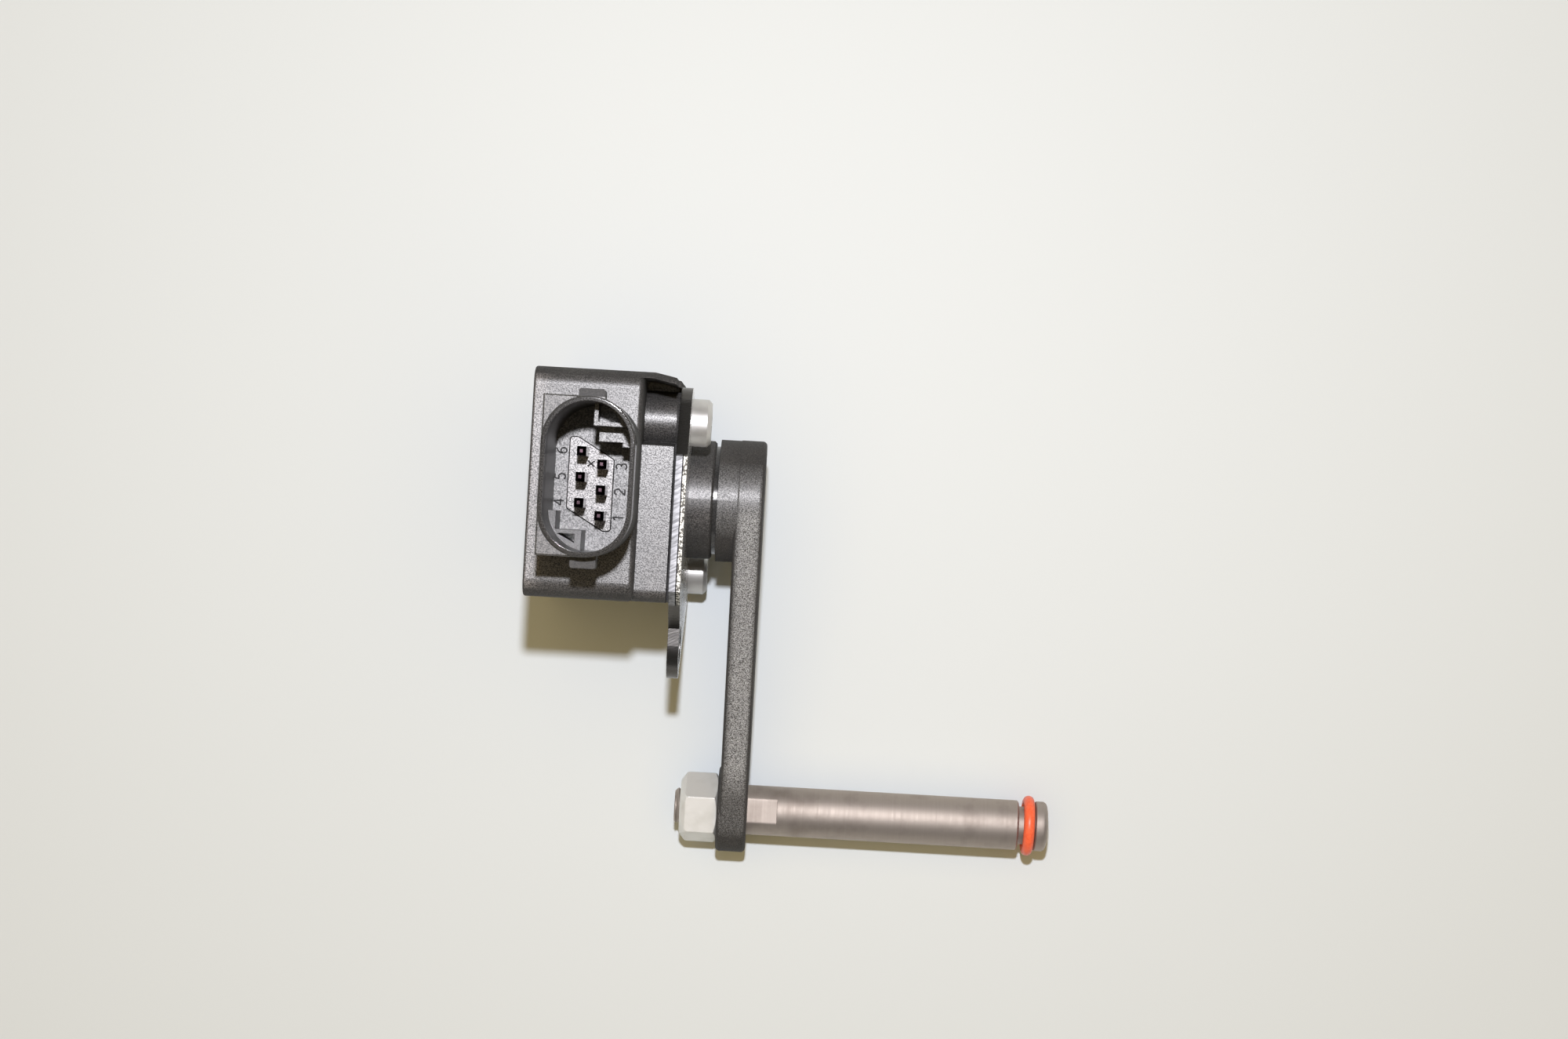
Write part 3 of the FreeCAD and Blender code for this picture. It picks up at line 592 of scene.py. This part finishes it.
dress("bracket_screws", plated_metal("screw_zinc", (0.66, 0.655, 0.64), (0.54, 0.535, 0.52),
                                     stretch=(900.0, 900.0, 900.0), depth=0.000006, edge=0.0002,
                                     gloss=0.36, spread=0.16, metal=0.8))

# Shaft and rotor: ground steel shaft, spring steel clip, moulded carrier and a stamped copper loop.
# They turn with the lever inside the closed housing.

dress("shaft", plated_metal("shaft_steel", (0.56, 0.56, 0.55), (0.46, 0.46, 0.45),
                            stretch=(4000.0, 150.0, 150.0), depth=0.000003, edge=0.0001,
                            gloss=0.18, spread=0.12))
dress("retaining_clip", plated_metal("clip_steel", (0.2, 0.2, 0.21), (0.14, 0.13, 0.13),
                                     stretch=(900.0, 900.0, 900.0), depth=0.000004, edge=0.0001,
                                     gloss=0.28, spread=0.12))
dress("rotor_carrier", moulded_plastic("rotor_plastic", (0.03, 0.03, 0.03), (0.045, 0.045, 0.045),
                                       pits=4200.0, depth=0.00002, edge=0.0002, gloss=0.38))
dress("rotor_loop", plated_metal("loop_copper", (0.72, 0.34, 0.2), (0.55, 0.25, 0.15),
                                 stretch=(700.0, 900.0, 900.0), depth=0.000004, edge=0.0001,
                                 gloss=0.22, spread=0.14))

# Lever: hub, tapered arm and eye in one black moulding, with a finer grain than the housing.
# Along the middle of its upper side the arm carries more pale dust, a painted sheen for the light on it.

shoulder_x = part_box("lever_arm")[1][0]
arm_thickness = 0.00445
arm_x = shoulder_x - arm_thickness
painted_sheen_arm_y = ((-0.0002, -0.0028), (-0.0475, -0.0425))
painted_sheen_arm_x = ((arm_x + 0.0003, arm_x + 0.0012), (shoulder_x - 0.0002, shoulder_x - 0.001))

lever_plastic = moulded_plastic("lever_plastic", (0.016, 0.015, 0.0145), (0.06, 0.058, 0.056),
                                pits=5600.0, depth=0.00002, edge=0.00015, gloss=0.4, shine=0.65,
                                extra={"Dust and sheen": 0.2, "Dust and sheen tone": (0.67, 0.71, 0.76, 1.0),
                                       "Side matting": 0.3, "Glaze": 0.42})
# painted sheen: the middle of the arm's upper side is made paler than the rest of the lever
painted_sheen_arm = shared(layer(lever_plastic, "Y", *painted_sheen_arm_y), layer(lever_plastic, "X", *painted_sheen_arm_x))
finish_in_zone(lever_plastic, painted_sheen_arm, {"Dust and sheen": 0.76})
dress("lever_arm", lever_plastic)

# Pedal pin: turned from free cutting steel, with a warm grey finish from the salt bath. The stud has a rolled
# thread, two wrench flats stand next to the lever, and a ring groove is cut near the rounded end.

pin_low, pin_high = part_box("pedal_pin")
pin_y, pin_z = (pin_low[k] / 2 + pin_high[k] / 2 for k in (1, 2))
pin_start, pin_stop = pin_low[0], pin_high[0]
pin_r = 0.004
stud_r = 0.00295
stud_tip_r = 0.0012
stud_chamfer = 0.0005
stud_stop = shoulder_x - 0.0046
thread_stop = shoulder_x - 0.0045
thread_pitch = 0.001
thread_depth = 0.0004
flat_half = 0.0035
flat_stop = shoulder_x + 0.00485
flat_turn = math.radians(3.0)
groove_stop = pin_stop - 0.00205
groove_start = groove_stop - 0.0027
groove_r = 0.00305
groove_chamfer = 0.00025
collar_chamfer = 0.0002
end_length = 0.0008
end_drop = 0.0011
hairline = 0.00001
stud_rings = 90
end_rings = 9
sides = 144


def rings_skin(rings):
    """Closed skin through a row of rings: quads between neighbours, wrapped round, and a pole at each end."""
    count, around = rings.shape[:2]
    verts = np.vstack([rings.reshape(-1, 3), rings[0].mean(0), rings[-1].mean(0)])
    row = np.arange(count - 1)[:, None] * around
    col = np.arange(around)[None, :]
    nxt = (col + 1) % around
    quads = np.stack([row + col, row + nxt, row + around + nxt, row + around + col], -1).reshape(-1, 4)
    first, last = count * around, count * around + 1
    ring = np.arange(around)
    turn = np.roll(ring, -1)
    base = (count - 1) * around
    low = np.column_stack([turn, ring, np.full(around, first)])
    high = np.column_stack([base + ring, base + turn, np.full(around, last)])
    return verts, quads, np.vstack([low, high])


def pin_rings():
    """Radius at distance x and angle a: the turned profile, cut by flats at h / |sin(a + turn)| beside the
    lever, and on the stud a thread of triangle wave depth in x / pitch - a / 2 pi that fades at the
    chamfer."""
    turn = np.linspace(0, math.pi / 2, end_rings)
    x = np.concatenate([
        [pin_start, pin_start], np.linspace(pin_start, stud_stop, stud_rings), [shoulder_x, shoulder_x],
        [shoulder_x + 2 * hairline, flat_stop, flat_stop + hairline],
        [groove_start - groove_chamfer, groove_start, groove_start, groove_stop, groove_stop],
        [groove_stop + collar_chamfer], pin_stop - end_length + end_length * np.sin(turn)])
    r = np.concatenate([
        [stud_tip_r, stud_r - stud_chamfer], np.full(stud_rings, stud_r), [stud_r, pin_r],
        [pin_r, pin_r, pin_r],
        [pin_r, pin_r - groove_chamfer, groove_r, groove_r, pin_r - collar_chamfer],
        [pin_r], pin_r - end_drop + end_drop * np.cos(turn)])
    angle = np.linspace(0, 2 * math.pi, sides, endpoint=False)
    radius = np.repeat(r[:, None], sides, 1)
    wave = np.abs(((x[:, None] / thread_pitch - angle[None, :] / (2 * math.pi)) % 1.0) * 2 - 1)
    in_thread = (np.arange(len(x)) >= 2) & (x < thread_stop)
    cone = stud_r - stud_chamfer + (x - pin_start)
    cut = np.minimum(stud_r - thread_depth * wave, cone[:, None])
    radius = np.where(in_thread[:, None], cut, radius)
    in_flat = (x > shoulder_x) & (x <= flat_stop + 1e-7)
    flat = flat_half / np.maximum(np.abs(np.sin(angle + flat_turn)), 1e-6)
    radius = np.where(in_flat[:, None], np.minimum(radius, flat[None, :]), radius)
    along = np.repeat(x[:, None], sides, 1)
    return np.dstack([along, pin_y + radius * np.cos(angle), pin_z + radius * np.sin(angle)])


def turned_mesh(name, rings):
    """Mesh of a closed ring skin, with its faces turned outwards."""
    verts, quads, caps = rings_skin(rings)
    mesh = new_mesh(name, verts, quads.tolist() + caps.tolist())
    a, b, c = (verts[caps[:, k]] for k in range(3))
    if np.einsum("ij,ij->i", a, np.cross(b, c)).sum() + quads_volume(verts, quads) < 0:
        mesh.flip_normals()
    return mesh


pin_steel = plated_metal("pedal_pin_steel", (0.475, 0.416, 0.367), (0.37, 0.317, 0.275),
                         stretch=(3600.0, 90.0, 90.0), depth=0.000005, edge=0.00012, gloss=0.53, spread=0.16)
pin_mesh = turned_mesh("turned_pin", pin_rings())
turned_pin = piece("turned_pin", pin_mesh, pin_steel, "lever")
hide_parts("pedal_pin")
dress("pedal_pin", pin_steel)
dress("eye_sleeve", plated_metal("sleeve_steel", (0.56, 0.55, 0.53), (0.46, 0.45, 0.44),
                                 stretch=(3000.0, 150.0, 150.0), depth=0.000004, edge=0.0001,
                                 gloss=0.25, spread=0.15))

# Lock nut: hexagon nut with a squeezed collar that grips the thread, pale zinc plated, slightly matt,
# with small knocks from the spanner.

dress("lock_nut", plated_metal("nut_zinc", (0.82, 0.83, 0.815), (0.7, 0.71, 0.68),
                               stretch=(1100.0, 1100.0, 1100.0), depth=0.000014, edge=0.0002,
                               gloss=0.46, spread=0.18, metal=0.55))

# Rubber ring: orange silicone cord ring, rolled over the rounded end of the pin into its groove.
# It stops the pin rattling in the pedal.

ring_low, ring_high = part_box("o_ring")
ring_x = (ring_low[0] + ring_high[0]) / 2
cord_r = (ring_high[0] - ring_low[0]) / 2
ring_r = (ring_high[1] - ring_low[1]) / 2 - cord_r


def ring_skin(around=160, section=40):
    """Torus: the cord's centre runs at ring radius, and its section is a circle; both ways wrap round."""
    turn = np.linspace(0, 2 * math.pi, around, endpoint=False)[:, None]
    cord = np.linspace(0, 2 * math.pi, section, endpoint=False)[None, :]
    radius = ring_r + cord_r * np.cos(cord)
    verts = np.dstack([ring_x + cord_r * np.sin(cord) + 0 * turn, pin_y + radius * np.cos(turn),
                       pin_z + radius * np.sin(turn)]).reshape(-1, 3)
    row = np.arange(around)[:, None]
    col = np.arange(section)[None, :]
    nxt_row, nxt_col = (row + 1) % around, (col + 1) % section
    quads = np.stack([row * section + col, nxt_row * section + col, nxt_row * section + nxt_col,
                      row * section + nxt_col], -1).reshape(-1, 4)
    return verts, outward(verts, quads).tolist()


ring_rubber = moulded_plastic("ring_rubber", (0.94, 0.16, 0.065), (0.86, 0.12, 0.045),
                              pits=2400.0, depth=0.00001, edge=0.0001, gloss=0.3)
cord_ring = piece("cord_ring", new_mesh("cord_ring", *ring_skin()), ring_rubber, "lever")
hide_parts("o_ring")
dress("o_ring", ring_rubber)

# Table, lamps and camera: a pale lacquered table top on which the part lies, a flash lamp beside the lens
# and a large warm lamp overhead. Far from the part the table fades into the pale foot of the walls.

table_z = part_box("housing")[0][2]
table_half = 2.0
table_fade = (0.15, 0.9)
pale_tone = (0.84, 0.84, 0.82, 1.0)
ceiling_tone = (0.17, 0.165, 0.155, 1.0)
wall_fade = (0.1, 0.32)
lens_x, lens_y, lens_z = 0.01497, -0.0024, 0.460
roll = math.radians(3.3)
flash_rise = 0.092
flash_throw = 0.47


def seen_plainly(tree):
    """Factor 1 for what the camera sees, straight or in a shiny surface, and 0 for what only gives light."""
    path = tree.nodes.new("ShaderNodeLightPath").outputs
    return worked(tree, "MAXIMUM", path["Is Camera Ray"], path["Is Glossy Ray"])


def blended(tree, factor, first, second):
    """Shader between two others."""
    node = tree.nodes.new("ShaderNodeMixShader")
    for plug, given in zip(node.inputs, (factor, first.outputs[0], second.outputs[0])):
        tree.links.new(given, plug)
    return node.outputs[0]


def area_lamp(name, shape, size, watts, colour, place):
    """Lamp with a plain round or square face of the given size."""
    light = bpy.data.lights.new(name, "AREA")
    light.shape = shape
    light.size = size
    light.energy = watts
    light.color = colour
    lamp = in_scene(name, light)
    lamp.location = place
    return lamp


table = bpy.data.meshes.new("table_top")
table.from_pydata([(-table_half, -table_half, table_z), (table_half, -table_half, table_z),
                   (table_half, table_half, table_z), (-table_half, table_half, table_z)], [], [(0, 1, 2, 3)])
table_top = in_scene("table_top", table)
lacquer = bpy.data.materials.new("table_lacquer")
lacquer.use_nodes = True
top = lacquer.node_tree
shader = top.nodes["Principled BSDF"]
shader.inputs["Base Color"].default_value = (0.645, 0.712, 0.765, 1.0)
shader.inputs["Roughness"].default_value = 0.5
shader.inputs["Specular IOR Level"].default_value = 0.25
place = top.nodes.new("ShaderNodeTexCoord")
away = top.nodes.new("ShaderNodeVectorMath")
away.operation = "LENGTH"
top.links.new(place.outputs["Object"], away.inputs[0])
far = ranged(top, away.outputs["Value"], *table_fade)
pale = top.nodes.new("ShaderNodeEmission")
pale.inputs["Color"].default_value = pale_tone
surface = blended(top, worked(top, "MULTIPLY", far, seen_plainly(top)), shader, pale)
top.links.new(surface, top.nodes["Material Output"].inputs["Surface"])
table.materials.append(lacquer)

lens = bpy.data.cameras.new("camera")
lens.lens = 66.96
lens.sensor_width = 36.0
lens.clip_start = 0.01
camera = in_scene("camera", lens)
camera.location = (lens_x, lens_y, lens_z)
camera.rotation_euler = (0.0, 0.0, roll)
bpy.context.scene.camera = camera

flash_place = (lens_x - flash_rise * math.sin(roll), lens_y + flash_rise * math.cos(roll), lens_z)
flash_lamp = area_lamp("lamp_by_lens", "DISK", size=0.02, watts=2.06, colour=(0.969, 0.955, 1.0),
                       place=flash_place)
flash_lamp.rotation_euler = (-math.atan2(flash_rise, flash_throw), 0.0, roll)
overhead_lamp = area_lamp("lamp_overhead", "SQUARE", size=2.4, watts=14.5, colour=(1.0, 0.73, 0.344),
                          place=(0.05, 0.0, 1.6))
overhead_lamp.visible_glossy = False

world = bpy.data.worlds.new("room")
world.use_nodes = True
bpy.context.scene.world = world
room = world.node_tree
ambient = room.nodes["Background"]
ambient.inputs["Color"].default_value = (1.0, 0.77, 0.42, 1.0)
ambient.inputs["Strength"].default_value = 0.125
way = room.nodes.new("ShaderNodeTexCoord")
split = room.nodes.new("ShaderNodeSeparateXYZ")
room.links.new(way.outputs["Generated"], split.inputs["Vector"])
backdrop = room.nodes.new("ShaderNodeBackground")
wall = mixed(room, ranged(room, split.outputs["Z"], *wall_fade), pale_tone, ceiling_tone)
room.links.new(wall, backdrop.inputs["Color"])
surround = blended(room, seen_plainly(room), ambient, backdrop)
room.links.new(surround, room.nodes["World Output"].inputs["Surface"])
bpy.context.scene.view_settings.view_transform = "Standard"
